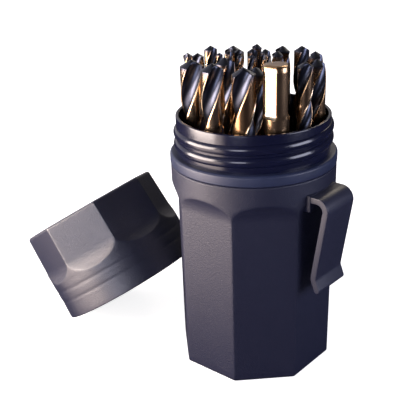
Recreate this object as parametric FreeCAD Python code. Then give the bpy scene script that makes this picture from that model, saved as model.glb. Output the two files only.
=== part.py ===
"""Drill bit case: an eight-sided screw-top case with a belt clip, its lid taken off, and its bits.

Millimetres and degrees. The origin is the centre of the case's base on the surface it stands on,
+Z points up and the belt clip faces +X. The lid leans against the back of the case.
Each piece is its own solid, written to parts/NAME.step.
"""
import FreeCAD, Part
import math
import os

V = FreeCAD.Vector
UP = V(0, 0, 1)
ORIGIN = V(0, 0, 0)

# Driving sizes of the case body
sides = 8
body_height = 111.3
draft_deg = 0.43
body_wall = 2.0
floor_thickness = 3.0
base_edge_radius = 1.2
scoop_radius = 16.5
scoop_length = 20.0
scoop_depth = 4.2
overrun = 2.0
fit_clearance = 0.1
touch_clearance = 0.2

# Driving sizes of the collar: its flange shows as the ring, its neck carries the thread
flange_lip = 0.3
flange_height = 5.8
flange_chamfer = 0.9
neck_step = 3.3
neck_wall = 1.6
neck_height = 19.0
rim_chamfer = 0.5
spigot_length = 9.0
spigot_wall = 2.4

# Driving sizes of the screw thread
pitch = 6.0
thread_turns = 2.0
ridge_height = 1.4
ridge_base_width = 4.4
ridge_crest_width = 3.2
ridge_root_sink = 0.4
thread_start_deg = 127.0
thread_start_lift = 2.6
thread_clearance = 0.2
lid_ridge_base_width = 1.9
lid_ridge_crest_width = 1.0

# Driving sizes of the belt clip
clip_width = 24.0
clip_thickness = 3.4
clip_crown_radius = 3.25
clip_crown_drop = 14.2
clip_crown_reach = 3.45
clip_arm_length = 36.0
clip_arm_slope_deg = 9.0
clip_kink_radius = 5.0
clip_kink_deg = 30.8
clip_tip_length = 4.8
clip_edge_radius = 0.6
pad_height = 8.8
pad_rise = 0.25
pad_reach = 0.5

# Driving sizes of the lid, and how it leans
lid_height = 52.5
lid_rim_wall = 1.2
lid_lip_flare = 0.3
lid_skirt_height = 8.0
lid_draft_deg = 2.0
lid_scoop_start = 31.0
lid_wall = 1.8
lid_top = 1.8
lid_edge_radius = 1.6
lid_thread_bore_height = 17.6
lid_tilt_deg = 33.8
lid_lean_deg = 189.2
lid_spin_deg = 35.7
lid_offset_deg = 6.2
liner_thickness = 1.2

# Driving sizes of the bits: diameters step by one 64th of an inch, lengths by one 8th
size_step = 0.396875
length_step = 3.175
deepest_foot = 9.6
seat_step = 0.7
lean_deg = 0.5
socket_clearance = 0.15
socket_wall = 0.9
socket_grip = 13.0
tier_web = 1.3
outer_circle_share = 89.32283464566929
smallest_size = 4
largest_size = 32
short_length_shares = {4: 15, 5: 16, 6: 18, 7: 21, 8: 22, 9: 23, 10: 25, 11: 26}
length_offset_share = 16
fluted_share_least = 0.47
fluted_share_gain = 0.28
fluted_share_power = 0.6
lead_share = 6.8
point_angle_deg = 118.0
land_share = 0.985
web_share = 0.2
run_out_share = 0.95
land_half_deg = 50.0
sections_per_turn = 8
fewest_sections = 6
flat_count = 3
flat_depth_share = 0.07
flat_length_share = 0.165
flat_first_size = 12
shank_chamfer_share = 0.05

# Each bit: size in 64ths, direction from the middle, seat above the common tip level in
# seat steps, and how far it is turned on its own axis. The outer circle leans outwards.
outer_bits = [
    (30, -60.9, 2, 176), (32, -31.8, 3, 67), (20, -3.4, 2, 99), (25, 30.5, -2, 153),
    (22, 50.0, 0, 120), (21, 75.8, 0, 60), (23, 97.9, -2, 100), (16, 123.4, -2, 30),
    (24, 146.2, -2, 80), (18, 169.6, 0, 140), (17, 187.0, -3, 50), (12, 204.0, 0, 110),
    (31, 224.0, -1, 97), (29, 269.0, 3, 58),
]
middle_bits = [
    (28, -48.0, -3, 75), (27, -4.5, -1, 20), (19, 82.0, -1, 90), (15, 107.0, -1, 10),
    (14, 128.0, -1, 130), (13, 149.0, -1, 40), (11, 168.0, -1, 85), (9, 187.0, -1, 15),
    (26, 250.0, 2, 100),
]
inner_bits = [
    (5, -8.0, 0, 45), (6, 42.0, 0, 90), (7, 84.5, -1, 0), (10, 133.5, -2, 60),
    (8, 188.0, -1, 120), (4, 247.0, 0, 30),
]
reversed_size = 32

# Sizes worked out from the driving ones. The case is as wide as its outer circle of bits asks:
# outer_circle_share is that circle's radius in size steps, on which the directions above fit.
draft = math.radians(draft_deg)
largest_diameter = largest_size * size_step
outer_edge_radius = size_step * outer_circle_share
holder_radius = outer_edge_radius + socket_clearance + socket_wall
cavity_base_radius = holder_radius + touch_clearance
base_flat_radius = cavity_base_radius + body_wall
shoulder_radius = base_flat_radius + scoop_depth
flange_radius = shoulder_radius + flange_lip
neck_root_radius = shoulder_radius - neck_step
groove_radius = neck_root_radius + ridge_height + thread_clearance
lid_rim_radius = groove_radius + lid_rim_wall
lid_shoulder_radius = lid_rim_radius - lid_lip_flare
lid_end_flat_radius = lid_shoulder_radius - scoop_depth
tip_height = floor_thickness + deepest_foot + (largest_size + length_offset_share) * length_step
flange_top = body_height + flange_height
rim_height = flange_top + neck_height
neck_bore_radius = neck_root_radius - neck_wall
spigot_outer_radius = neck_bore_radius + spigot_wall
spigot_bottom = body_height - spigot_length
scoop_start = body_height - scoop_length
clip_pad_x = shoulder_radius + pad_reach
clip_crown_x = clip_pad_x + clip_crown_reach
clip_root_bottom = body_height - clip_crown_drop
pad_inner_x = base_flat_radius + clip_root_bottom * math.tan(draft) - body_wall / 2
lid_lip_height = lid_skirt_height / 4
middle_edge_radius = outer_edge_radius - largest_diameter - tier_web
middle_largest = max(bit[0] for bit in middle_bits) * size_step
inner_edge_radius = middle_edge_radius - middle_largest - tier_web
middle_outer_radius = middle_edge_radius + tier_web / 2
core_radius = inner_edge_radius + tier_web / 2


def polar(radius, angle_deg, height):
    """A point at a radius and direction about the case's axis."""
    angle = math.radians(angle_deg)
    return V(radius * math.cos(angle), radius * math.sin(angle), height)


def turned_solid(points):
    """Turns a closed outline of (radius, height) points about the Z axis."""
    corners = [V(radius, 0, height) for radius, height in points]
    corners.append(corners[0])
    return Part.Face(Part.makePolygon(corners)).revolve(ORIGIN, UP, 360)


def octagon(flat_radius, height):
    """An eight-sided wire, measured to its flats, with a flat facing +X."""
    half = 180.0 / sides
    corner_radius = flat_radius / math.cos(math.radians(half))
    corners = [polar(corner_radius, half + 2 * half * k, height) for k in range(sides + 1)]
    return Part.makePolygon(corners)


def octagon_solid(flat_low, low, flat_high, high):
    """An eight-sided solid whose flats go from one radius to another."""
    return Part.makeLoft([octagon(flat_low, low), octagon(flat_high, high)], True, True)


def scoop_cutter(flat_radius, height_low, height_tangent, slope, radius, round_radius):
    """What is cut away at one flat: a sloping plane that sweeps outwards at its top."""
    low = V(flat_radius, 0, height_low)
    rise = height_tangent - height_low
    tangent = low + V(rise * math.tan(slope), 0, rise)
    reach = round_radius + overrun - tangent.x
    sweep = math.acos(1 - min(1, reach / radius))

    def on_arc(angle):
        out = radius * (1 - math.cos(angle))
        up = radius * math.sin(angle)
        return tangent + V(
            up * math.sin(slope) + out * math.cos(slope), 0,
            up * math.cos(slope) - out * math.sin(slope),
        )

    top = on_arc(sweep)
    below = low - V(overrun * math.tan(slope), 0, overrun)
    far_low = V(top.x + overrun, 0, below.z)
    far_top = V(top.x + overrun, 0, top.z)
    edges = [
        Part.makeLine(below, tangent),
        Part.Arc(tangent, on_arc(sweep / 2), top).toShape(),
        Part.makeLine(top, far_top),
        Part.makeLine(far_top, far_low),
        Part.makeLine(far_low, below),
    ]
    face = Part.Face(Part.Wire(edges))
    face.translate(V(0, -round_radius, 0))
    return face.extrude(V(0, 2 * round_radius, 0))


def cut_flats(solid, cutter):
    """Cuts the same flat away on all eight sides."""
    cutters = []
    for k in range(sides):
        turned = cutter.copy()
        turned.rotate(ORIGIN, UP, 360.0 * k / sides)
        cutters.append(turned)
    return solid.cut(cutters)


def edges_at_height(solid, height):
    """The solid's edges that lie wholly at one height on the outside."""
    found = []
    for edge in solid.Edges:
        box = edge.BoundBox
        if abs(box.ZMin - height) < fit_clearance and abs(box.ZMax - height) < fit_clearance:
            found.append(edge)
    return found


def screw_ridge(wall_radius, crest_radius, base_width, crest_width, start_height):
    """A helical ridge with a tapered section, right-handed, starting at thread_start_deg."""
    helix = Part.makeHelix(pitch, pitch * thread_turns, wall_radius)
    inward = 1 if crest_radius < wall_radius else -1
    foot_radius = wall_radius + inward * ridge_root_sink
    corners = [
        V(foot_radius, 0, -base_width / 2), V(crest_radius, 0, -crest_width / 2),
        V(crest_radius, 0, crest_width / 2), V(foot_radius, 0, base_width / 2),
    ]
    corners.append(corners[0])
    section = Part.makePolygon(corners)
    ridge = Part.Wire(helix.Edges).makePipeShell([section], True, True)
    ridge.rotate(ORIGIN, UP, thread_start_deg)
    ridge.translate(V(0, 0, start_height))
    return ridge


def make_case_body():
    """The eight-sided tub: round where it meets the collar, with eight scooped flats."""
    outer = Part.makeCylinder(shoulder_radius, body_height)
    cutter = scoop_cutter(
        base_flat_radius, 0, scoop_start, draft, scoop_radius, shoulder_radius)
    outer = cut_flats(outer, cutter)
    outer = outer.makeFillet(base_edge_radius, edges_at_height(outer, 0))
    root_top = clip_root_bottom + clip_crown_radius + clip_thickness
    pad_low = root_top + pad_rise - pad_height
    pad = Part.makeBox(clip_pad_x - pad_inner_x, clip_width, pad_height)
    pad.translate(V(pad_inner_x, -clip_width / 2, pad_low))
    outer = outer.fuse(pad)
    widening = math.tan(draft)
    cavity_top_radius = cavity_base_radius + (spigot_bottom - floor_thickness) * widening
    cavity = octagon_solid(
        cavity_base_radius, floor_thickness, cavity_top_radius, spigot_bottom + fit_clearance)
    bore = Part.makeCylinder(
        spigot_outer_radius + fit_clearance, spigot_length + overrun, V(0, 0, spigot_bottom))
    return outer.cut([cavity, bore])


def make_threaded_collar():
    """The neck: a spigot in the body, a flange on its rim and a screw thread above."""
    rim_inner = neck_bore_radius + rim_chamfer
    collar = turned_solid([
        (neck_bore_radius, spigot_bottom), (spigot_outer_radius, spigot_bottom),
        (spigot_outer_radius, body_height), (flange_radius - flange_chamfer / 2, body_height),
        (flange_radius, body_height + flange_chamfer / 2),
        (flange_radius, flange_top - flange_chamfer),
        (flange_radius - flange_chamfer, flange_top), (neck_root_radius, flange_top),
        (neck_root_radius, rim_height - rim_chamfer),
        (neck_root_radius - rim_chamfer, rim_height), (rim_inner, rim_height),
        (neck_bore_radius, rim_height - rim_chamfer),
    ])
    ridge = screw_ridge(
        neck_root_radius, neck_root_radius + ridge_height, ridge_base_width,
        ridge_crest_width, flange_top + thread_start_lift)
    return collar.fuse(ridge)


def make_belt_clip():
    """The strap: root on the body's pad, round crown, sloping arm and flared tip."""
    slope = math.radians(clip_arm_slope_deg)
    flare = slope - math.radians(clip_kink_deg)
    inner = clip_crown_radius
    outer = clip_crown_radius + clip_thickness
    centre = V(clip_crown_x, 0, clip_root_bottom)

    def out_of_arm(distance):
        return V(distance * math.cos(slope), 0, -distance * math.sin(slope))

    down_arm = V(-math.sin(slope), 0, -math.cos(slope))
    down_tip = V(-math.sin(flare), 0, -math.cos(flare))
    kink_outer = clip_kink_radius - clip_thickness / 2
    kink_centre = centre + out_of_arm(outer + kink_outer) + down_arm * clip_arm_length

    def crown(radius, angle):
        return centre + V(radius * math.cos(angle), 0, radius * math.sin(angle))

    def kink(radius, angle):
        return kink_centre - V(radius * math.cos(angle), 0, -radius * math.sin(angle))

    middle = (slope + flare) / 2
    kink_inner = kink_outer + clip_thickness
    outer_end = kink(kink_outer, flare) + down_tip * clip_tip_length
    inner_end = kink(kink_inner, flare) + down_tip * clip_tip_length
    tip = (outer_end + inner_end) * 0.5 + down_tip * (clip_thickness / 2)
    root_top = V(clip_pad_x, 0, centre.z + outer)
    root_low = V(clip_pad_x, 0, centre.z + inner)
    quarter = math.pi / 2
    edges = [
        Part.makeLine(root_top, crown(outer, quarter)),
        Part.Arc(crown(outer, quarter), crown(outer, (quarter - slope) / 2),
                 crown(outer, -slope)).toShape(),
        Part.makeLine(crown(outer, -slope), kink(kink_outer, slope)),
        Part.Arc(kink(kink_outer, slope), kink(kink_outer, middle),
                 kink(kink_outer, flare)).toShape(),
        Part.makeLine(kink(kink_outer, flare), outer_end),
        Part.Arc(outer_end, tip, inner_end).toShape(),
        Part.makeLine(inner_end, kink(kink_inner, flare)),
        Part.Arc(kink(kink_inner, flare), kink(kink_inner, middle),
                 kink(kink_inner, slope)).toShape(),
        Part.makeLine(kink(kink_inner, slope), crown(inner, -slope)),
        Part.Arc(crown(inner, -slope), crown(inner, (quarter - slope) / 2),
                 crown(inner, quarter)).toShape(),
        Part.makeLine(crown(inner, quarter), root_low),
        Part.makeLine(root_low, root_top),
    ]
    face = Part.Face(Part.Wire(edges))
    face.translate(V(0, -clip_width / 2, 0))
    strap = face.extrude(V(0, clip_width, 0))
    side_edges = [
        edge for edge in strap.Edges
        if edge.BoundBox.YLength < fit_clearance
        and edge.BoundBox.XMax > clip_pad_x + fit_clearance
    ]
    return strap.makeFillet(clip_edge_radius, side_edges)


def place_lid(shape):
    """Leans a piece of the lid, drawn rim down about the Z axis, against the case."""
    shape.rotate(ORIGIN, UP, lid_spin_deg)
    lean = math.radians(lid_lean_deg)
    shape.rotate(ORIGIN, V(-math.sin(lean), math.cos(lean), 0), lid_tilt_deg)
    shape.translate(lid_rim_centre())
    return shape


def lid_rim_centre():
    """The middle of the lid's rim: its low edge on the table, its high edge at a corner."""
    tilt = math.radians(lid_tilt_deg)
    half = math.radians(180.0 / sides)
    height = lid_rim_radius * math.sin(tilt)
    flat_there = base_flat_radius + 2 * height * math.tan(draft)
    corner_there = flat_there / math.cos(half)
    distance = corner_there + touch_clearance + lid_rim_radius * math.cos(tilt)
    return polar(distance, lid_lean_deg + lid_offset_deg, height)


def make_lid_shell():
    """The screw lid: eight-sided at its closed end, round at its rim, threaded inside."""
    slope = math.radians(lid_draft_deg)
    outer = turned_solid([
        (0, 0), (lid_rim_radius, 0), (lid_rim_radius, lid_lip_height),
        (lid_shoulder_radius, lid_skirt_height), (lid_shoulder_radius, lid_height),
        (0, lid_height),
    ])
    cutter = scoop_cutter(
        lid_end_flat_radius, -lid_height, -lid_scoop_start, slope, scoop_radius,
        lid_rim_radius)
    cutter = cutter.mirror(ORIGIN, UP)
    outer = cut_flats(outer, cutter)
    outer = outer.makeFillet(lid_edge_radius, edges_at_height(outer, lid_height))
    cavity_end = lid_height - lid_top
    cavity = octagon_solid(
        lid_end_flat_radius + (lid_height - lid_thread_bore_height) * math.tan(slope)
        - lid_wall, lid_thread_bore_height - fit_clearance,
        lid_end_flat_radius + lid_top * math.tan(slope) - lid_wall, cavity_end)
    bore = Part.makeCylinder(
        groove_radius, lid_thread_bore_height + overrun, V(0, 0, -overrun))
    shell = outer.cut([cavity, bore])
    ridge = screw_ridge(
        groove_radius, neck_root_radius + thread_clearance, lid_ridge_base_width,
        lid_ridge_crest_width, thread_start_lift)
    return place_lid(shell.fuse(ridge))


def make_lid_liner():
    """The soft disc glued inside the closed end, which the tips meet when it is shut."""
    end = lid_end_flat_radius + lid_top * math.tan(math.radians(lid_draft_deg)) - lid_wall
    liner = Part.makeCylinder(
        end - touch_clearance, liner_thickness,
        V(0, 0, lid_height - lid_top - fit_clearance - liner_thickness))
    return place_lid(liner)


def bit_length(size):
    """Overall length of a jobber bit of one size, in its standard steps."""
    return short_length_shares.get(size, size + length_offset_share) * length_step


def flute_length(size):
    """Length of the flutes: a larger share of the bit on larger sizes."""
    growth = (size - smallest_size) / (largest_size - smallest_size)
    fluted_share = fluted_share_least + fluted_share_gain * growth ** fluted_share_power
    return bit_length(size) * fluted_share


def bit_foot(bit, edge_radius):
    """The middle of a bit's lower end, on its circle and below the common tip level."""
    size, direction, seat, _ = bit
    radius = edge_radius - size * size_step / 2
    return polar(radius, direction, tip_height + seat * seat_step - bit_length(size))


def stand(shape, bit, edge_radius, leans):
    """Turns a shape drawn about the Z axis as its bit stands, and moves it to its foot."""
    direction = math.radians(bit[1])
    shape.rotate(ORIGIN, UP, bit[1] + bit[3])
    if leans:
        shape.rotate(ORIGIN, V(-math.sin(direction), math.cos(direction), 0), lean_deg)
    shape.translate(bit_foot(bit, edge_radius))
    return shape


def flute_section(land_radius, web_radius, height, turn_deg):
    """Cross-section of the fluted part: two round lands and two hollow flutes."""
    edges = []
    for side in (0, 180):
        start = side - land_half_deg + turn_deg
        end = side + land_half_deg + turn_deg
        following = side + 180 - land_half_deg + turn_deg
        edges.append(Part.Arc(
            polar(land_radius, start, height), polar(land_radius, side + turn_deg, height),
            polar(land_radius, end, height)).toShape())
        edges.append(Part.Arc(
            polar(land_radius, end, height), polar(web_radius, side + 90 + turn_deg, height),
            polar(land_radius, following, height)).toShape())
    return Part.Wire(edges)


def make_bit(size):
    """One twist drill on its shank end: shank, right-hand flutes and a conical point."""
    diameter = size * size_step
    radius = diameter / 2
    length = bit_length(size)
    fluted = flute_length(size)
    land = radius * land_share
    turns = fluted / (diameter * lead_share)
    count = max(fewest_sections, math.ceil(turns * sections_per_turn))
    sections = [flute_section(land, land * run_out_share, length - fluted, 0)]
    for k in range(1, count + 1):
        share = k / count
        sections.append(flute_section(
            land, land * web_share, length - fluted * (1 - share), 360 * turns * share))
    body = Part.makeLoft(sections, True, False)
    chamfer = diameter * shank_chamfer_share
    shank_top = length - fluted + chamfer
    shank = turned_solid([
        (0, 0), (radius - chamfer, 0), (radius, chamfer), (radius, shank_top), (0, shank_top),
    ])
    if size >= flat_first_size:
        shank = cut_shank_flats(shank, radius, length)
    steepness = math.tan(math.radians(point_angle_deg / 2))
    point = turned_solid([
        (0, 0), (diameter, 0), (diameter, length - diameter / steepness), (0, length),
    ])
    return body.fuse(shank).common(point)


def cut_shank_flats(shank, radius, length):
    """Three flats near the shank's end, which stop it turning in the chuck."""
    flat_length = length * flat_length_share
    depth = 2 * radius * flat_depth_share
    for k in range(flat_count):
        block = Part.makeBox(radius, 2 * radius, flat_length + overrun)
        block.translate(V(radius - depth, -radius, -overrun))
        block.rotate(ORIGIN, UP, 360.0 * k / flat_count)
        shank = shank.cut(block)
    return shank


def make_holder_tier(bits, inner_radius, outer_radius, edge_radius, leans):
    """One ring of the stepped insert: a sector and a blind socket for each of its bits."""
    order = sorted(bits, key=lambda bit: bit[1])
    sectors = []
    for k, bit in enumerate(order):
        before = order[k - 1][1] - (360 if k == 0 else 0)
        after = order[(k + 1) % len(order)][1] + (360 if k == len(order) - 1 else 0)
        start = (before + bit[1]) / 2
        sweep = (after + bit[1]) / 2 - start
        height = bit_foot(bit, edge_radius).z + socket_grip - floor_thickness
        sector = Part.makeCylinder(
            outer_radius, height, V(0, 0, floor_thickness), UP, sweep)
        sector.rotate(ORIGIN, UP, start)
        sectors.append(sector)
    ring = sectors[0].fuse(sectors[1:]).removeSplitter()
    bores = []
    if inner_radius > 0:
        bores.append(Part.makeCylinder(inner_radius, tip_height))
    for bit in bits:
        bore_radius = bit[0] * size_step / 2 + socket_clearance
        bores.append(stand(Part.makeCylinder(bore_radius, tip_height), bit, edge_radius, leans))
    return ring.cut(bores)


def all_bits():
    """Every bit with the circle that it stands on."""
    placed = [(bit, outer_edge_radius, True) for bit in outer_bits]
    placed += [(bit, middle_edge_radius, False) for bit in middle_bits]
    placed += [(bit, inner_edge_radius, False) for bit in inner_bits]
    return placed


os.makedirs("parts", exist_ok=True)
pieces = {
    "case_body": make_case_body(),
    "threaded_collar": make_threaded_collar(),
    "holder_outer_ring": make_holder_tier(
        outer_bits, middle_outer_radius + fit_clearance, holder_radius, outer_edge_radius, True),
    "holder_middle_ring": make_holder_tier(
        middle_bits, core_radius + fit_clearance, middle_outer_radius, middle_edge_radius,
        False),
    "holder_core": make_holder_tier(inner_bits, 0, core_radius, inner_edge_radius, False),
    "belt_clip": make_belt_clip(),
    "lid_shell": make_lid_shell(),
    "lid_liner": make_lid_liner(),
}
for bit, edge_radius, leans in all_bits():
    size = bit[0]
    drill = make_bit(size)
    if size == reversed_size:
        drill.rotate(ORIGIN, V(1, 0, 0), 180)
        drill.translate(V(0, 0, bit_length(size)))
    pieces["drill_bit_%02d" % size] = stand(drill, bit, edge_radius, leans)
for name, shape in pieces.items():
    print(name, shape.isValid(), len(shape.Solids), round(shape.Volume))
    shape.exportStep("parts/%s.step" % name)
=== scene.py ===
"""Drill bit case with its screw lid taken off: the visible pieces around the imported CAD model.

Sizes in the sections are millimetres, and meshes are written in metres. The case stands on its
base at the origin, +Z is up and the belt clip faces +X. The lid leans against the case's back.
"""
import math

import bpy
import numpy as np
from mathutils import Matrix


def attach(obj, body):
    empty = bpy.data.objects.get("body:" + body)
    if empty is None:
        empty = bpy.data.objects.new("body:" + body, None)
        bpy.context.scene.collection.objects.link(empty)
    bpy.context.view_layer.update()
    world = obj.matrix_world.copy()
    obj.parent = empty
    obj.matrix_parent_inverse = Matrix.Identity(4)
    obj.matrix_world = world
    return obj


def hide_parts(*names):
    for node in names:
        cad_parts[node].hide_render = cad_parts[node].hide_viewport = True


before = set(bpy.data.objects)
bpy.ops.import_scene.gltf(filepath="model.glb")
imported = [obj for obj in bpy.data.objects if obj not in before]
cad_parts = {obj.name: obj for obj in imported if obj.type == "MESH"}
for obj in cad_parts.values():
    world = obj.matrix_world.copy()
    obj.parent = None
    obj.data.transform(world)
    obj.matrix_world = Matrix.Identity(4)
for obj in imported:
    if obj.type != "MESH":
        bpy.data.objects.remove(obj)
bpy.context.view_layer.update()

# ---------------------------------------------------------------- case body
# The eight-sided tub, taken as injection moulded in dark polypropylene with a fine matte grain,
# as a spark-eroded mould leaves. Each flat sweeps outwards at its top to a round wall.
sides = 8
body_height = 111.3
shoulder_radius = 42.9
base_flat_radius = 38.7
body_draft_deg = 0.43
body_wall = 2.0
floor_thickness = 3.0
base_edge_radius = 1.2
scoop_radius = 16.5
scoop_start = 91.3
spigot_bottom = 102.3
spigot_bore_radius = 40.5
moulded_edge = 0.22
seam_chamfer = 0.6
body_shade, body_shade_light = "#0d1028", "#12152c"
grain_size = 0.5
mottle_size = 14.0
grain_depth = 0.16


def flat_reach(height, base, slope_deg, straight, radius):
    """How far a flat lies from the axis, at heights counted from its narrow end.

    base + height * tan(slope) up to the height straight, and from there a circular arc of the
    given radius, tangent to the slope, that carries it outwards.
    """
    slope = math.radians(slope_deg)
    angle = np.linspace(0, math.pi / 2, 300)
    out, up = radius * (1 - np.cos(angle)), radius * np.sin(angle)
    arc_reach = base + straight * math.tan(slope) + up * math.sin(slope) + out * math.cos(slope)
    arc_height = straight + up * math.cos(slope) - out * math.sin(slope)
    sloping = base + height * math.tan(slope)
    return np.where(height <= straight, sloping, np.interp(height, arc_height, arc_reach))


def around_flats(count, reach, round_radius, edge, flat_columns=17, round_columns=7):
    """Radius and direction round a prism with count flats, one row for each height.

    The radius is the least of reach / cos(turn from each near flat) and the round radius, softened
    over edge. Columns bunch where flat and round meet, at acos(reach / round radius).
    """
    half = math.pi / count
    reach, round_radius = np.broadcast_arrays(reach, round_radius)
    reach, round_radius = reach[:, None], round_radius[:, None]
    meet = np.arccos(np.clip(reach / round_radius, 0, 1))
    meet = np.clip(meet, 0.25 * half, 0.985 * half)
    across = np.sin(np.linspace(-math.pi / 2, math.pi / 2, flat_columns))
    between = (1 - np.cos(np.linspace(0, math.pi, round_columns)[1:-1])) / 2
    turn = np.concatenate([meet * across, meet + 2 * (half - meet) * between], axis=1)
    walls = [reach / np.cos(turn - 2 * half * k) for k in (-1, 0, 1)] + [round_radius + 0 * turn]
    walls = [np.where(wall <= 0, round_radius * 2, wall) for wall in walls]
    least = np.minimum.reduce(walls)
    radius = least - edge * np.log(sum(np.exp((least - wall) / edge) for wall in walls))
    radius = np.tile(radius, (1, count))
    direction = np.concatenate([turn + 2 * half * k for k in range(count)], axis=1)
    return radius, direction


def turned_grid(radius, direction, height):
    """Points of rows of (radius, direction, height): x = r cos(d), y = r sin(d), z = height."""
    height = np.broadcast_to(np.asarray(height, float), radius.shape)
    return np.stack([radius * np.cos(direction), radius * np.sin(direction), height], axis=-1)


def closed_mesh(name, grids, rings=()):
    """One mesh of closed skins, each from a grid of points (rows, columns, 3) in mm.

    Columns join up round a skin. A grid's end rows are closed by a fan to their own middle; a
    ring's last row joins up with its first. Where a skin's signed volume, the sum of
    a . (b x c) over its triangles, is negative, its faces are turned to point outwards.
    """
    points, corners, sizes, first = [], [], [], 0
    for grid, is_ring in [(g, False) for g in grids] + [(g, True) for g in rings]:
        rows, columns = grid.shape[:2]
        flat = grid.reshape(-1, 3)
        index = np.arange(rows * columns).reshape(rows, columns)
        if is_ring:
            index = np.concatenate([index, index[:1]])
        following = np.roll(index, -1, axis=1)
        quads = np.stack([index[:-1], following[:-1], following[1:], index[1:]], -1).reshape(-1, 4)
        fans = np.empty((0, 3), int)
        if not is_ring:
            flat = np.concatenate([flat, grid[:1].mean(1), grid[-1:].mean(1)])
            low = np.stack([following[0], index[0], np.full(columns, rows * columns)], -1)
            high = np.stack([index[-1], following[-1], np.full(columns, rows * columns + 1)], -1)
            fans = np.concatenate([low, high])
        thirds = np.concatenate([quads[:, [0, 1, 2]], quads[:, [0, 2, 3]], fans])
        a, b, c = (flat[thirds[:, k]] for k in range(3))
        if (a * np.cross(b, c)).sum() < 0:
            quads, fans = quads[:, ::-1], fans[:, ::-1]
        points.append(flat)
        corners += [(quads + first).ravel(), (fans + first).ravel()]
        sizes += [np.full(len(quads), 4), np.full(len(fans), 3)]
        first += len(flat)
    points, corners, sizes = (np.concatenate(part) for part in (points, corners, sizes))
    mesh = bpy.data.meshes.new(name)
    mesh.vertices.add(len(points))
    mesh.vertices.foreach_set("co", (points / 1000).astype(np.float32).ravel())
    mesh.loops.add(len(corners))
    mesh.loops.foreach_set("vertex_index", corners.astype(np.int32))
    mesh.polygons.add(len(sizes))
    mesh.polygons.foreach_set("loop_start", (np.cumsum(sizes) - sizes).astype(np.int32))
    mesh.polygons.foreach_set("use_smooth", np.ones(len(sizes), bool))
    mesh.update(calc_edges=True)
    made = bpy.data.objects.new(name, mesh)
    bpy.context.scene.collection.objects.link(made)
    return made


def linear(code):
    """Linear red, green, blue and full alpha of an sRGB hex colour."""
    shares = [int(code[k:k + 2], 16) / 255 for k in (1, 3, 5)]
    return [s / 12.92 if s <= 0.04045 else ((s + 0.055) / 1.055) ** 2.4 for s in shares] + [1]


def add(tree, kind, inputs=(), **settings):
    """Adds a node, with its settings, and fills or links its inputs by name or number."""
    made = tree.nodes.new("ShaderNode" + kind)
    for key, value in settings.items():
        setattr(made, key, value)
    for key, value in dict(inputs).items():
        if isinstance(value, bpy.types.NodeSocket):
            tree.links.new(value, made.inputs[key])
        else:
            made.inputs[key].default_value = value
    return made


def finish_of(name):
    """A new material with its tree and its Principled shader."""
    material = bpy.data.materials.new(name)
    material.use_nodes = True
    return material, material.node_tree, material.node_tree.nodes["Principled BSDF"]


def moulded_plastic(name, dark, light, roughness, depth):
    """Moulded plastic: a fine grain in the surface, and a faint cloudiness in its colour."""
    material, tree, shader = finish_of(name)
    place = add(tree, "TexCoord").outputs["Object"]
    grain = add(tree, "TexNoise", {"Vector": place, "Scale": 1000 / grain_size, "Detail": 3.0})
    cloud = add(tree, "TexNoise", {"Vector": place, "Scale": 1000 / mottle_size, "Detail": 4.0})
    blend = add(tree, "Mix", {0: cloud.outputs[0], 6: linear(dark), 7: linear(light)},
                data_type="RGBA")
    rough = add(tree, "MapRange", {"Value": grain.outputs[0], "From Min": 0.3, "From Max": 0.7,
                                   "To Min": roughness - 0.06, "To Max": roughness + 0.06})
    bump = add(tree, "Bump", {"Height": grain.outputs[0], "Distance": depth / 1000,
                              "Strength": 1.0})
    tree.links.new(blend.outputs[2], shader.inputs["Base Color"])
    tree.links.new(rough.outputs[0], shader.inputs["Roughness"])
    tree.links.new(bump.outputs[0], shader.inputs["Normal"])
    shader.inputs["IOR"].default_value = 1.49
    return material


# Spark-eroded polypropylene: dark, with a soft even sheen towards the lamp.
body_plastic = moulded_plastic(
    "spark_eroded_polypropylene", body_shade, body_shade_light, 0.5, grain_depth)

foot_angle = np.linspace(0, math.pi / 2, 7)
foot_height = base_edge_radius * (1 - np.cos(foot_angle))
foot_inset = base_edge_radius * (1 - np.sin(foot_angle))
wall_height = np.concatenate([np.linspace(base_edge_radius, scoop_start, 26)[1:],
                              np.linspace(scoop_start, body_height - seam_chamfer, 68)[1:]])
outer_height = np.concatenate([foot_height, wall_height])
outer_inset = np.concatenate([foot_inset, 0 * wall_height])
outer_reach = flat_reach(outer_height, base_flat_radius, body_draft_deg, scoop_start,
                         scoop_radius) - outer_inset
outer_round = shoulder_radius - outer_inset
cavity_height = np.linspace(spigot_bottom, floor_thickness, 12)
cavity_reach = (base_flat_radius - body_wall
                + (cavity_height - floor_thickness) * math.tan(math.radians(body_draft_deg)))
floor_reach = np.array([0.3, 0.7, 0.97])
free_reach = 2 * shoulder_radius
rows = [
    (0 * floor_reach, floor_reach * outer_reach[0], floor_reach * outer_round[0]),
    (outer_height, outer_reach, outer_round),
    ([body_height, body_height, body_height - moulded_edge, spigot_bottom + moulded_edge,
      spigot_bottom],
     [free_reach] * 5,
     [shoulder_radius - seam_chamfer, spigot_bore_radius + moulded_edge, spigot_bore_radius,
      spigot_bore_radius, spigot_bore_radius]),
    (cavity_height, cavity_reach, cavity_reach * 2),
    (floor_thickness + 0 * floor_reach, floor_reach[::-1] * cavity_reach[-1],
     floor_reach[::-1] * cavity_reach[-1] * 2),
]
height, reach, limit = (np.concatenate([np.asarray(row[k], float) for row in rows])
                        for k in range(3))
radius, direction = around_flats(sides, reach, limit, moulded_edge)
case_body = closed_mesh("case_body_shell", [turned_grid(radius, direction, height[:, None])])
case_body.data.materials.append(body_plastic)
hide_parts("case_body")
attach(case_body, "case")

# The pad under the belt clip: a block that stands out of one flat, moulded with the body.
pad_face, pad_inner = 43.4, 38.4
pad_low, pad_high, pad_half_width = 95.2, 104.0, 12.0


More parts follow.
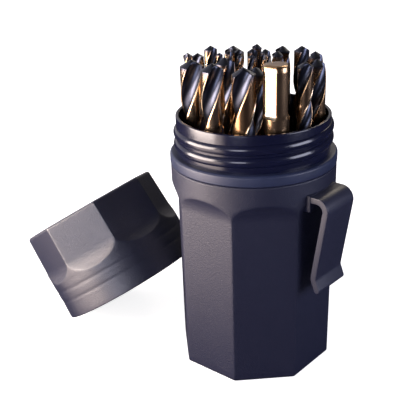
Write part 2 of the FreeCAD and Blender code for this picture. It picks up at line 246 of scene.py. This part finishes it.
def rounded_outline(corners, rounding, steps=4):
    """A closed outline of 2-D corners, each cut back and bridged by a curve.

    At a corner P between A and B the curve is a quadratic Bezier, (1-t)^2 A + 2t(1-t) P + t^2 B,
    where A and B lie at most rounding, and at most 45% of the side, away from P.
    """
    corners = np.asarray(corners, float)
    ends = []
    for step in (1, -1):
        side = np.roll(corners, step, 0) - corners
        length = np.linalg.norm(side, axis=1, keepdims=True)
        ends.append(corners + side * np.minimum(rounding / length, 0.45))
    t = np.linspace(0, 1, steps)[None, :, None]
    curve = ((1 - t) ** 2 * ends[0][:, None] + 2 * t * (1 - t) * corners[:, None]
             + t ** 2 * ends[1][:, None])
    return curve.reshape(-1, 2)


pad_outline = rounded_outline([
    (-pad_half_width, pad_low), (pad_half_width, pad_low), (pad_half_width, pad_high),
    (-pad_half_width, pad_high)], 0.6, 5)
pad_middle = pad_outline.mean(0)
pad_depth = np.array([pad_inner, pad_face - 0.4, pad_face - 0.12, pad_face])
pad_shrink = np.array([0, 0, 0.12, 0.4])[:, None, None]
pad_rows = pad_outline - pad_shrink * np.sign(pad_outline - pad_middle)
pad_grid = np.concatenate([
    np.broadcast_to(pad_depth[:, None, None], pad_rows.shape[:2] + (1,)), pad_rows], axis=-1)
clip_pad = closed_mesh("clip_pad", [pad_grid])
clip_pad.data.materials.append(body_plastic)
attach(clip_pad, "case")

# ---------------------------------------------------------------- threaded collar
# The neck that carries the lid: a spigot pressed into the body, a flange that shows as a ring,
# and two turns of screw thread. Moulded in the same plastic from a polished tool, so it shines.
flange_radius = 43.15
flange_height = 5.8
flange_chamfer = 0.9
neck_root_radius = 39.6
neck_bore_radius = 38.0
neck_height = 19.0
rim_chamfer = 0.5
spigot_outer_radius = 40.4
thread_pitch = 6.0
thread_turns = 2.0
ridge_height = 1.4
ridge_width = 5.0
thread_start_deg = 127.0
thread_start_lift = 2.6
thread_end_deg = 16.0
flange_top = body_height + flange_height
rim_height = flange_top + neck_height


def full_turn(outline, columns=180):
    """A closed outline of (radius, height) turned once about the axis."""
    direction = np.linspace(0, 2 * math.pi, columns, endpoint=False)[None, :]
    return turned_grid(outline[:, :1] + 0 * direction, direction + 0 * outline[:, :1],
                       outline[:, 1:])


def ridge_sweep(wall, crest, ridge_wide, start_height):
    """A screw thread's ridge: a rounded profile carried along a helix.

    direction = start + 360 turn, height = start + pitch turn + side * ridge_wide, and the lift
    above the wall is cos(pi side)^0.6. It falls smoothly to nothing, 3 e^2 - 2 e^3, over the last
    thread_end_deg at both ends.
    """
    turn = np.linspace(0, thread_turns, 320)[:, None]
    ease = np.clip(np.minimum(turn, thread_turns - turn) * 360 / thread_end_deg, 0, 1)
    ease = ease * ease * (3 - 2 * ease)
    side = np.sin(np.linspace(-math.pi / 2, math.pi / 2, 23)) / 2
    lift = np.maximum(np.cos(math.pi * side), 0) ** 0.6
    lift, side = np.concatenate([[-0.3], lift, [-0.3]]), np.concatenate([[-0.5], side, [0.5]])
    radius = wall + (crest - wall) * (np.maximum(lift, 0) * ease + np.minimum(lift, 0)
                                      - 0.06 * (1 - ease))
    height = start_height + thread_pitch * turn + side * ridge_wide * (0.4 + 0.6 * ease)
    direction = math.radians(thread_start_deg) + 2 * math.pi * turn + 0 * lift
    return turned_grid(radius, direction, height)


# Gloss polypropylene: dark, with long soft reflections along the thread.
neck_plastic = moulded_plastic("gloss_polypropylene", "#090b1e", "#0e1128", 0.19, 0.001)
# The ring stands out a little paler and bluer, with a satin finish.
ring_plastic = moulded_plastic("satin_polypropylene", "#0f1730", "#232b46", 0.46, 0.02)
flange_outline = rounded_outline([
    (neck_bore_radius + 0.4, spigot_bottom), (spigot_outer_radius, spigot_bottom),
    (spigot_outer_radius, body_height), (flange_radius - flange_chamfer, body_height),
    (flange_radius, body_height + seam_chamfer),
    (flange_radius, flange_top - flange_chamfer), (flange_radius - flange_chamfer, flange_top),
    (neck_bore_radius + 0.4, flange_top)], 0.35)
neck_outline = rounded_outline([
    (neck_bore_radius, spigot_bottom + 0.1), (neck_root_radius - 0.2, spigot_bottom + 0.1),
    (neck_root_radius, flange_top - 1), (neck_root_radius, rim_height),
    (neck_bore_radius, rim_height)], rim_chamfer)
ridge = ridge_sweep(neck_root_radius, neck_root_radius + ridge_height, ridge_width,
                    flange_top + thread_start_lift)
neck = closed_mesh("threaded_neck", [ridge], [full_turn(neck_outline)])
neck.data.materials.append(neck_plastic)
ring = closed_mesh("collar_ring", [], [full_turn(flange_outline)])
ring.data.materials.append(ring_plastic)
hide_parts("threaded_collar")
for piece in (neck, ring):
    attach(piece, "case")

# ---------------------------------------------------------------- bit holder
# Three stepped rings inside the case, one in another, with a blind socket for each bit. Dull
# black injection mouldings; their CAD solids have the right shape and only get the finish.
holder_plastic = moulded_plastic("dull_black_polystyrene", "#15151b", "#1d1d24", 0.62, 0.02)
for node_name in ("holder_outer_ring", "holder_middle_ring", "holder_core"):
    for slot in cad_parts[node_name].material_slots:
        slot.material = holder_plastic

# ---------------------------------------------------------------- belt clip
# A springy strap of the body's plastic, flat on its sides, from the pad over its round crown, down
# the sloping arm, and out again at the lead-in at its tip.
strap_half_width = 12.0
strap_thickness = 3.4
strap_edge = 0.55
crown_radius = 4.95
crown_reach = 3.44
crown_deg = 99.0
arm_length = 36.0
kink_radius = 5.0
kink_deg = 30.8
tip_length = 4.8
strap_root = (43.4, 102.05)


def strap_line(step=0.4):
    """Middle line of the strap: its heading turns by arc / radius in each bend.

    Points are the running sum of (cos heading, sin heading) * step, taken at mid step. Returns
    points (x, z), headings in radians and the distance left to the tip.
    """
    runs = [(crown_reach, 0), (crown_radius * math.radians(crown_deg), -crown_deg),
            (arm_length, 0), (kink_radius * math.radians(kink_deg), kink_deg), (tip_length, 0),
            (strap_thickness / 2, 0)]
    ends = np.cumsum([0] + [run[0] for run in runs])
    headings = np.radians(np.cumsum([0] + [run[1] for run in runs]))
    total = ends[-1]
    rounded_end = total - strap_thickness / 2 * (1 - np.cos(np.linspace(0, math.pi / 2, 8)))
    along = np.sort(np.unique(np.concatenate([
        np.arange(0, total - strap_thickness / 2, step), rounded_end])))
    heading = np.interp(along, ends, headings)
    middle = np.interp((along[1:] + along[:-1]) / 2, ends, headings)
    stride = np.diff(along)[:, None] * np.stack([np.cos(middle), np.sin(middle)], axis=1)
    points = np.array(strap_root) + np.concatenate([np.zeros((1, 2)), np.cumsum(stride, 0)])
    return points, heading, total - along


points, heading, left = strap_line()
half = strap_thickness / 2
into_end = np.clip(half - left, 0, half)
half_here = np.sqrt(np.maximum(half ** 2 - into_end ** 2, 1e-4))
section = rounded_outline([(-strap_half_width, -half), (strap_half_width, -half),
                           (strap_half_width, half), (-strap_half_width, half)], strap_edge, 6)
width, lift = section[:, 0], section[:, 1] / half
lift_here = lift[None, :] * half_here[:, None]
normal = np.stack([-np.sin(heading), np.cos(heading)], axis=1)
strap = np.stack([
    points[:, :1] + lift_here * normal[:, :1], np.broadcast_to(width, lift_here.shape),
    points[:, 1:] + lift_here * normal[:, 1:]], axis=-1)
belt_clip = closed_mesh("belt_clip_strap", [strap])
clip_plastic = moulded_plastic("satin_clip_polypropylene", "#1a1c2e", "#202234", 0.42, 0.012)
belt_clip.data.materials.append(clip_plastic)
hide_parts("belt_clip")
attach(belt_clip, "belt_clip")

# ---------------------------------------------------------------- screw lid
# A deep cap of the body's plastic: eight flats with scoops at its closed end, a round skirt at
# its rim where the thread inside leaves faint sink marks. It leans against the case's back.
lid_height = 52.5
lid_rim_radius = 42.4
lid_shoulder_radius = 42.1
lid_skirt_height = 8.0
lid_end_flat_radius = 37.9
lid_draft_deg = 2.0
lid_scoop_start = 31.0
lid_wall = 1.8
lid_edge_radius = 1.6
lid_inner_end = 50.7
lid_bore_radius = 41.2
lid_bore_height = 17.6
lid_flare_height = 2
lid_facet_edge = 0.15
lip_edge = 0.3
sink_depth = 0.16
sink_width = 1.1
sink_heights = (10.4, 16.6)
lid_ridge_width = 1.9
lid_spin_deg, lid_lean_deg, lid_tilt_deg = 35.7, 189.2, 33.8
lid_rim_centre = (-74.9155, -20.6352, 23.5869)


def lid_place(grid):
    """Turns points drawn rim down about Z by the spin, leans them by the tilt, and moves them.

    Leaning is Rodrigues' rule about the level axis u at right angles to the lean:
    p cos + (u x p) sin + u (u . p)(1 - cos).
    """
    spin, lean, tilt = (math.radians(a) for a in (lid_spin_deg, lid_lean_deg, lid_tilt_deg))
    x, y, z = np.moveaxis(grid, -1, 0)
    spun = np.stack([x * math.cos(spin) - y * math.sin(spin),
                     x * math.sin(spin) + y * math.cos(spin), z], axis=-1)
    axis = np.array([-math.sin(lean), math.cos(lean), 0])
    leaned = (spun * math.cos(tilt) + np.cross(axis, spun) * math.sin(tilt)
              + axis * (spun @ axis)[..., None] * (1 - math.cos(tilt)))
    return leaned + np.array(lid_rim_centre)


end_angle = np.linspace(math.pi / 2, 0, 8)
end_height = lid_height - lid_edge_radius * (1 - np.cos(end_angle))
end_inset = lid_edge_radius * (1 - np.sin(end_angle))
skirt = np.concatenate([
    np.linspace(lip_edge, lid_scoop_start, 90),
    np.linspace(lid_scoop_start, lid_height - lid_edge_radius, 14)[1:-1]])
outer_height = np.concatenate([skirt, end_height])
inset = np.concatenate([0 * skirt, end_inset])
skirt_radius = np.interp(outer_height, [0, lid_flare_height, lid_skirt_height], [
    lid_rim_radius, lid_rim_radius, lid_shoulder_radius])
sinks = sum(np.exp(-((outer_height - at) / sink_width) ** 2) for at in sink_heights)
outer_round = skirt_radius - sink_depth * sinks - inset
outer_reach = flat_reach(lid_height - outer_height, lid_end_flat_radius, lid_draft_deg,
                         lid_height - lid_scoop_start, scoop_radius) - inset
lid_slope = math.tan(math.radians(lid_draft_deg))
cavity_height = np.linspace(lid_inner_end, lid_bore_height, 14)
cavity_reach = lid_end_flat_radius + (lid_height - cavity_height) * lid_slope - lid_wall
rows = [
    ([0, 0], [free_reach] * 2, [lid_bore_radius + lip_edge, lid_rim_radius - lip_edge]),
    (outer_height, outer_reach, outer_round),
    (lid_height + 0 * floor_reach, floor_reach[::-1] * outer_reach[-1],
     floor_reach[::-1] * outer_round[-1]),
]
inner_rows = [
    (lid_inner_end + 0 * floor_reach, floor_reach * cavity_reach[0],
     floor_reach * cavity_reach[0] * 2),
    (cavity_height, cavity_reach, cavity_reach * 2),
    ([lid_bore_height - 0.1, lid_bore_height - 0.4, 9, lip_edge], [free_reach] * 4,
     [lid_bore_radius - 0.25] + [lid_bore_radius] * 3),
]
rows = inner_rows + rows
height, reach, limit = (np.concatenate([np.asarray(row[k], float) for row in rows])
                        for k in range(3))
radius, direction = around_flats(sides, reach, limit, lid_facet_edge)
shell = turned_grid(radius, direction, height[:, None])
lid_ridge = ridge_sweep(lid_bore_radius, neck_root_radius + 0.2, lid_ridge_width,
                        thread_start_lift)
lid = closed_mesh("screw_lid", [lid_place(shell), lid_place(lid_ridge)])
lid_plastic = moulded_plastic(
    "spark_eroded_lid_polypropylene", "#11152a", "#171b31", 0.36, grain_depth)
# The lid shines more strongly than the case in the photo.
lid_shader = lid_plastic.node_tree.nodes["Principled BSDF"]
lid_shader.inputs["Specular IOR Level"].default_value = 1.0
lid.data.materials.append(lid_plastic)
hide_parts("lid_shell")
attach(lid, "lid")

# ---------------------------------------------------------------- lid liner
# The disc inside the lid's closed end. The photo doesn't show it: it is taken as die cut from
# dark closed-cell polyethylene foam, dull, with the fine pits of its cut bubbles.
material, tree, shader = finish_of("closed_cell_foam")
place = add(tree, "TexCoord").outputs["Object"]
cells = add(tree, "TexVoronoi", {"Vector": place, "Scale": 1000 / 0.9})
shade = add(tree, "Mix", {0: cells.outputs["Distance"], 6: linear("#1c1c20"),
                          7: linear("#34343a")}, data_type="RGBA")
pits = add(tree, "Bump", {"Height": cells.outputs["Distance"], "Distance": 0.0003,
                          "Strength": 0.8})
tree.links.new(shade.outputs[2], shader.inputs["Base Color"])
tree.links.new(pits.outputs[0], shader.inputs["Normal"])
shader.inputs["Roughness"].default_value = 0.9
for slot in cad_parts["lid_liner"].material_slots:
    slot.material = material

# ---------------------------------------------------------------- drill bits
# 29 jobber twist drills, 1/16 to 1/2 inch, ground from high speed steel. Their flutes are blued
# black and polished, their lands and shanks are tempered to a gold brown, and the narrow
# margins are ground bright. Each stands in its socket; one stands with its shank up.
size_step, length_step = 0.396875, 3.175
common_tip_height, seat_step, lean_deg = 165.0, 0.7, 0.5
short_length_shares = {4: 15, 5: 16, 6: 18, 7: 21, 8: 22, 9: 23, 10: 25, 11: 26}
lead_share, web_share, land_share, head_share = 6.8, 0.32, 0.985, 0.9
land_half_deg, margin_deg, margin_step_share = 46.0, 9.0, 0.03
point_slope = math.tan(math.radians(59))
shank_chamfer_share, flat_length_share, flat_depth_share = 0.05, 0.165, 0.07
outer_bits = [
    (30, -60.9, 2, 176), (32, -31.8, 3, 67), (20, -3.4, 2, 99), (25, 30.5, -2, 153),
    (22, 50.0, 0, 120), (21, 75.8, 0, 60), (23, 97.9, -2, 100), (16, 123.4, -2, 30),
    (24, 146.2, -2, 80), (18, 169.6, 0, 140), (17, 187.0, -3, 50), (12, 204.0, 0, 110),
    (31, 224.0, -1, 97), (29, 269.0, 3, 58),
]
middle_bits = [
    (28, -48.0, -3, 75), (27, -4.5, -1, 20), (19, 82.0, -1, 90), (15, 107.0, -1, 10),
    (14, 128.0, -1, 130), (13, 149.0, -1, 40), (11, 168.0, -1, 85), (9, 187.0, -1, 15),
    (26, 250.0, 2, 100),
]
inner_bits = [
    (5, -8.0, 0, 45), (6, 42.0, 0, 90), (7, 84.5, -1, 0), (10, 133.5, -2, 60),
    (8, 188.0, -1, 120), (4, 247.0, 0, 30),
]
outer_edge, middle_edge, inner_edge = 35.45, 21.45, 9.0375
reversed_size = 32


def flute_outlines():
    """The bit's section at radius 1, as a full round and as lands with flutes, column by column.

    A land is an arc of the circle, its margin a little prouder than the rest. A flute is the
    circle through both land corners and the web, at distance c on its own axis with radius
    c - web, c = (1 - web^2) / (2 (cos a - web)), where a is half its opening.
    """
    half_land, opening = math.radians(land_half_deg), math.radians(90 - land_half_deg)
    turn = half_land - math.radians(margin_deg)
    edge = math.radians(1.2)
    land = np.concatenate([np.linspace(-half_land, turn, 9), [turn + edge],
                           np.linspace(turn + 2 * edge, half_land, 4)])
    proud = np.interp(land, [turn, turn + edge], [1 - margin_step_share, 1])
    centre = (1 - web_share ** 2) / (2 * (math.cos(opening) - web_share))
    hollow = centre - web_share
    reach = math.atan2(math.sin(opening), math.cos(opening) - centre)
    sweep = np.linspace(reach, 2 * math.pi - reach, 17)[1:-1]
    flute = np.stack([centre + hollow * np.cos(sweep), hollow * np.sin(sweep)], axis=1)[::-1]
    flute = np.stack([-flute[:, 1], flute[:, 0]], axis=1)
    lands = np.stack([proud * np.cos(land), proud * np.sin(land)], axis=1)
    half_turn = np.concatenate([lands, flute])
    round_land = np.stack([np.cos(land), np.sin(land)], axis=1) * (1 - margin_step_share)
    round_angle = np.linspace(half_land, math.pi - half_land, len(flute) + 2)[1:-1]
    round_flute = np.stack([np.cos(round_angle), np.sin(round_angle)], 1) * (1 - margin_step_share)
    half_round = np.concatenate([round_land, round_flute])
    kind = np.concatenate([np.where(land > turn, 1.0, 0.5), 0 * sweep])
    return (np.concatenate([half_round, -half_round]), np.concatenate([half_turn, -half_turn]),
            np.concatenate([kind, kind]))


round_section, cut_section, column_kind = flute_outlines()


def fluted_part(diameter, length, fluted):
    """The fluted part and its point, drawn upright with the shank end at height 0.

    Each section turns by 360 degrees in lead_share diameters. Over the run-out it eases from
    round to fluted, and near the tip every point is held within (length - z) tan 59 of the axis.
    Returns the grid and what each point is: 0 flute or point, 0.5 land, 1 margin. The point is
    drawn in the flute's dark colour, which fades out along the lands over head_share diameters.
    """
    radius = diameter / 2 * land_share
    bottom = length - fluted
    tip = radius / point_slope
    count = max(20, int(fluted / (diameter * lead_share) * 60))
    height = np.concatenate([
        np.linspace(bottom, length - tip * 1.05, count, endpoint=False),
        length - tip * 1.05 * np.cos(np.linspace(0, math.pi / 2, 14)) ** 1.4])
    height[-1] = length - tip * 0.01
    ease = np.clip((height - bottom) / (0.9 * diameter), 0, 1)
    ease = (ease * ease * (3 - 2 * ease))[:, None, None]
    section = radius * (round_section * (1 - ease) + cut_section * ease)
    turn = 2 * math.pi * (height - bottom) / (diameter * lead_share)
    cos, sin = np.cos(turn)[:, None], np.sin(turn)[:, None]
    x = section[..., 0] * cos - section[..., 1] * sin
    y = section[..., 0] * sin + section[..., 1] * cos
    reach = np.hypot(x, y)
    allowed = ((length - height) * point_slope)[:, None]
    held = np.minimum(1, allowed / reach)
    clear = np.clip((length - height - tip) / (head_share * diameter), 0, 1)[:, None]
    # The point and the lands just below it take the flute's dark colour.
    kind = np.where(held < 1, 0.0, np.minimum(column_kind[None, :], clear))
    kind = np.where(ease[..., 0] < 0.35, 0.5, kind)
    grid = np.stack([x * held, y * held, np.broadcast_to(height[:, None], x.shape)], axis=-1)
    return grid, kind


def shank_part(diameter, length, fluted, flats):
    """The shank, drawn upright from height 0: chamfered ends and, on larger bits, three flats.

    Returns the grid and what each point is: 0.5 tempered round, 1 ground flat.
    """
    radius = diameter / 2
    chamfer = shank_chamfer_share * diameter
    flat_end = flat_length_share * length if flats else 0
    top = length - fluted + chamfer
    height = np.array([0, 0, chamfer * 0.5, chamfer])
    limit = np.array([0.5, 0.9, 0.95, 1.0]) * radius
    lower = np.linspace(chamfer, max(flat_end, chamfer * 1.5), 10)[1:]
    upper = np.concatenate([[lower[-1] + 0.02, lower[-1] + 0.3],
                            np.linspace(lower[-1] + 1, top - chamfer, 8), [top]])
    height = np.concatenate([height, lower, upper])
    limit = np.concatenate([limit, radius + 0 * lower, radius + 0 * upper[:-1],
                            [radius * (land_share - margin_step_share)]])
    on_flat = height <= lower[-1] if flats else height < -1
    reach = np.where(on_flat, radius * (1 - 2 * flat_depth_share), 2 * radius)
    reach = np.minimum(reach, np.where(limit < radius, reach * limit / radius, reach))
    radii, direction = around_flats(3, reach, limit, 0.05, 11, 21)
    kind = np.where((radii < 0.975 * radius) & on_flat[:, None] & (height > chamfer)[:, None],
                    1.0, 0.5)
    return turned_grid(radii, direction, height[:, None]), kind


# Blued and bronzed high speed steel: a mirror-dark flute beside a warm land. The grinding wheel
# leaves fine rings round the lands, far below a tenth of a millimetre, drawn here at 0.25 mm.
material, tree, shader = finish_of("black_and_gold_high_speed_steel")
kind = add(tree, "Attribute", attribute_name="finish").outputs["Fac"]
tint = add(tree, "Attribute", attribute_name="temper").outputs["Fac"]
place = add(tree, "TexCoord").outputs["Object"]
squash = add(tree, "Mapping", {"Vector": place, "Scale": (0.15, 0.15, 1)})
rings = add(tree, "TexNoise", {"Vector": squash.outputs[0], "Scale": 1000 / 0.25, "Detail": 2.0})
bloom = add(tree, "TexNoise", {"Vector": place, "Scale": 1000 / 9, "Detail": 3.0})
tempered = add(tree, "Mix", {0: tint, 6: linear("#b08a5c"), 7: linear("#cdb490")},
               data_type="RGBA")
clouded = add(tree, "Mix", {0: bloom.outputs[0], 6: tempered.outputs[2], 7: linear("#8a6c58")},
              data_type="RGBA")
ramp = add(tree, "MapRange", {"Value": kind, "From Min": 0.0, "From Max": 0.45})
edge_ramp = add(tree, "MapRange", {"Value": kind, "From Min": 0.55, "From Max": 1.0})
coat = add(tree, "Mix", {0: ramp.outputs[0], 6: linear("#40434f"), 7: clouded.outputs[2]},
           data_type="RGBA")
bright = add(tree, "Mix", {0: edge_ramp.outputs[0], 6: coat.outputs[2], 7: linear("#d8cdb8")},
             data_type="RGBA")
dull = add(tree, "MapRange", {"Value": kind, "From Min": 0.0, "From Max": 0.45, "To Min": 0.3,
                              "To Max": 0.2})
rough = add(tree, "Math", {0: rings.outputs[0], 1: 0.06, 2: dull.outputs[0]},
            operation="MULTIPLY_ADD")
lines = add(tree, "Bump", {"Height": rings.outputs[0], "Distance": 0.00001, "Strength": 0.08})
tree.links.new(bright.outputs[2], shader.inputs["Base Color"])
tree.links.new(rough.outputs[0], shader.inputs["Roughness"])
tree.links.new(lines.outputs[0], shader.inputs["Normal"])
shader.inputs["Metallic"].default_value = 1.0
bit_steel = material

chance = np.random.default_rng(29)
for bits, edge_radius, leans in ((outer_bits, outer_edge, True), (middle_bits, middle_edge, False),
                                 (inner_bits, inner_edge, False)):
    for size, toward_deg, seat, spin_deg in bits:
        diameter = size * size_step
        length = short_length_shares.get(size, size + 16) * length_step
        fluted = length * (0.47 + 0.28 * ((size - 4) / 28) ** 0.6)
        flutes, kinds = fluted_part(diameter, length, fluted)
        shank, shank_kinds = shank_part(diameter, length, fluted, size >= 12)
        if size == reversed_size:
            flutes, shank = (grid * (1, -1, -1) + (0, 0, length) for grid in (flutes, shank))
        toward, spin = math.radians(toward_deg), math.radians(toward_deg + spin_deg)
        lean = math.radians(lean_deg) if leans else 0
        turn = np.array([[math.cos(spin), -math.sin(spin), 0],
                         [math.sin(spin), math.cos(spin), 0], [0, 0, 1]])
        out = np.array([math.cos(toward), math.sin(toward), 0])
        side = np.array([-out[1], out[0], 0])
        tip_over = (np.outer(out, out) * math.cos(lean) + np.outer(side, side)
                    + np.outer([0, 0, 1], [0, 0, 1]) * math.cos(lean)
                    + (np.outer(out, [0, 0, 1]) - np.outer([0, 0, 1], out)) * math.sin(lean))
        foot = out * (edge_radius - diameter / 2)
        foot[2] = common_tip_height + seat * seat_step - length
        name = "drill_bit_%02d" % size
        grids = [grid @ (tip_over @ turn).T + foot for grid in (shank, flutes)]
        drill = closed_mesh(name + "_steel", grids)
        finish = np.concatenate([shank_kinds.ravel(), [0.5, 0.5], kinds.ravel(), [0.5, 0]])
        temper = np.full(len(finish), chance.random())
        for label, values in (("finish", finish), ("temper", temper)):
            layer = drill.data.attributes.new(label, "FLOAT", "POINT")
            layer.data.foreach_set("value", values.astype(np.float32))
        drill.data.materials.append(bit_steel)
        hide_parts(name)
        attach(drill, name)

# ---------------------------------------------------------------- floor, light and camera
# A pale studio floor that runs out to white, a large warm lamp low on the left that lights the
# flats from the side, weaker lamps in front, right and behind, and the room's own faint light.
floor_half = 3000.0
floor_mesh = bpy.data.meshes.new("studio_floor")
floor_mesh.from_pydata([(x * floor_half / 1000, y * floor_half / 1000, -0.0002)
                        for x, y in ((-1, -1), (1, -1), (1, 1), (-1, 1))], [], [(0, 1, 2, 3)])
floor = bpy.data.objects.new("studio_floor", floor_mesh)
bpy.context.scene.collection.objects.link(floor)
material, tree, shader = finish_of("white_paper_floor")
shader.inputs["Roughness"].default_value = 0.9
shader.inputs["Specular IOR Level"].default_value = 0.0
path = add(tree, "LightPath")
place = add(tree, "TexCoord").outputs["Object"]
# Reflections see the floor in a dark grey, which is painted shade, and a painted pool of light on
# the left: a warm glow that only reflections see.
paper_and_painted_shade = add(tree, "Mix", {0: path.outputs["Is Glossy Ray"], 6: linear("#d9d9d9"),
                          7: linear("#3c3c44")}, data_type="RGBA")
tree.links.new(paper_and_painted_shade.outputs[2], shader.inputs["Base Color"])
away = add(tree, "VectorMath", {0: place}, operation="LENGTH")
fade = add(tree, "MapRange", {"Value": away.outputs["Value"], "From Min": 0.15, "From Max": 0.8,
                              "To Min": 0.84, "To Max": 1.0})
# Painted light: a warm glow on the floor to the left, out from the case, that only reflections
# see.
bearing = add(tree, "VectorMath", {0: place}, operation="NORMALIZE")
facing = add(tree, "VectorMath", {0: bearing.outputs[0], 1: (-0.5, -0.866, 0)},
             operation="DOT_PRODUCT")
sector = add(tree, "MapRange", {"Value": facing.outputs["Value"], "From Min": 0.88,
                                "From Max": 0.96, "To Min": 0.0, "To Max": 5.5},
             interpolation_type="SMOOTHSTEP")
pool = add(tree, "MapRange", {"Value": away.outputs["Value"], "From Min": 0.1, "From Max": 0.24,
                              "To Min": 0.0, "To Max": sector.outputs[0]})
seen = add(tree, "Math", {0: path.outputs["Is Camera Ray"], 1: fade.outputs[0]},
           operation="MULTIPLY")
# The camera sees the floor's glow, which runs out to white; reflections see only the painted pool
# of light.
shown = add(tree, "Math", {0: path.outputs["Is Glossy Ray"], 1: pool.outputs[0],
                           2: seen.outputs[0]}, operation="MULTIPLY_ADD")
warmth = add(tree, "Mix", {0: path.outputs["Is Glossy Ray"], 6: (1, 1, 1, 1),
                           7: linear("#ffe9dc")}, data_type="RGBA")
glow = add(tree, "Emission", {"Color": warmth.outputs[2], "Strength": shown.outputs[0]})
both = add(tree, "AddShader", {0: shader.outputs[0], 1: glow.outputs[0]})
tree.links.new(both.outputs[0], tree.nodes["Material Output"].inputs["Surface"])
floor_mesh.materials.append(material)


def soft_lamp(name, azimuth_deg, elevation_deg, distance, width, height, watts, colour):
    """A rectangular lamp on a sphere about the case's middle, turned to face it."""
    azimuth, elevation = math.radians(azimuth_deg), math.radians(elevation_deg)
    away = np.array([math.cos(elevation) * math.cos(azimuth),
                     math.cos(elevation) * math.sin(azimuth), math.sin(elevation)])
    lamp = bpy.data.lights.new(name, "AREA")
    lamp.shape, lamp.size, lamp.size_y = "RECTANGLE", width, height
    lamp.energy, lamp.color = watts, linear(colour)[:3]
    made = bpy.data.objects.new(name, lamp)
    made.location = away * distance + np.array([0, 0, 0.08])
    made.rotation_euler = (math.pi / 2 - elevation, 0, azimuth + math.pi / 2)
    bpy.context.scene.collection.objects.link(made)


soft_lamp("key_lamp", 229, 7, 0.7, 0.6, 0.4, 17.0, "#ffeee4")
soft_lamp("window_lamp", 286, 10, 1.0, 0.35, 0.35, 3.2, "#eeeeff")
soft_lamp("fill_lamp", 15, 15, 0.9, 0.5, 0.5, 7.0, "#e6e8ff")
soft_lamp("back_lamp", 105, 38, 1.0, 0.3, 0.3, 1.6, "#fff2dc")

world = bpy.data.worlds.new("studio_room")
bpy.context.scene.world = world
world.use_nodes = True
tree = world.node_tree
tree.nodes.clear()
path = add(tree, "LightPath")
toward = add(tree, "TexCoord").outputs["Generated"]
leftward = add(tree, "VectorMath", {0: toward, 1: (-0.98, -0.17, 0)}, operation="DOT_PRODUCT")
room = add(tree, "MapRange", {"Value": leftward.outputs["Value"], "From Min": 0.0,
                              "From Max": 0.9, "To Min": 0.06, "To Max": 1.0})
lit = add(tree, "Background", {"Color": linear("#dadcf4"), "Strength": 0.25})
walls = add(tree, "Background", {"Color": linear("#efe9ee"), "Strength": room.outputs[0]})
white = add(tree, "Background", {"Color": (1, 1, 1, 1), "Strength": 1.0})
share = add(tree, "Math", {0: path.outputs["Is Camera Ray"],
                           1: path.outputs["Is Transmission Ray"]}, operation="MAXIMUM")
dim = add(tree, "MixShader", {0: path.outputs["Is Glossy Ray"], 1: lit.outputs[0],
                              2: walls.outputs[0]})
mixed = add(tree, "MixShader", {0: share.outputs[0], 1: dim.outputs[0], 2: white.outputs[0]})
add(tree, "OutputWorld", {"Surface": mixed.outputs[0]})

camera_data = bpy.data.cameras.new("photo_camera")
camera_data.sensor_fit = "HORIZONTAL"
camera_data.sensor_width = 36.0
camera_data.lens = 811.4 / 418 * 36.0
camera_data.clip_start, camera_data.clip_end = 0.01, 20.0
camera = bpy.data.objects.new("photo_camera", camera_data)
bpy.context.scene.collection.objects.link(camera)
right, up, ahead = ((0.766959, 0.641150, -0.026455), (-0.236472, 0.320718, 0.917181),
                    (-0.596536, 0.697185, -0.397591))
position = (0.240490, -0.317810, 0.255282)
camera.matrix_world = Matrix([
    [right[k], up[k], -ahead[k], position[k]] for k in range(3)] + [[0, 0, 0, 1]])
bpy.context.scene.camera = camera
bpy.context.scene.view_settings.view_transform = "Standard"

bpy.context.view_layer.update()
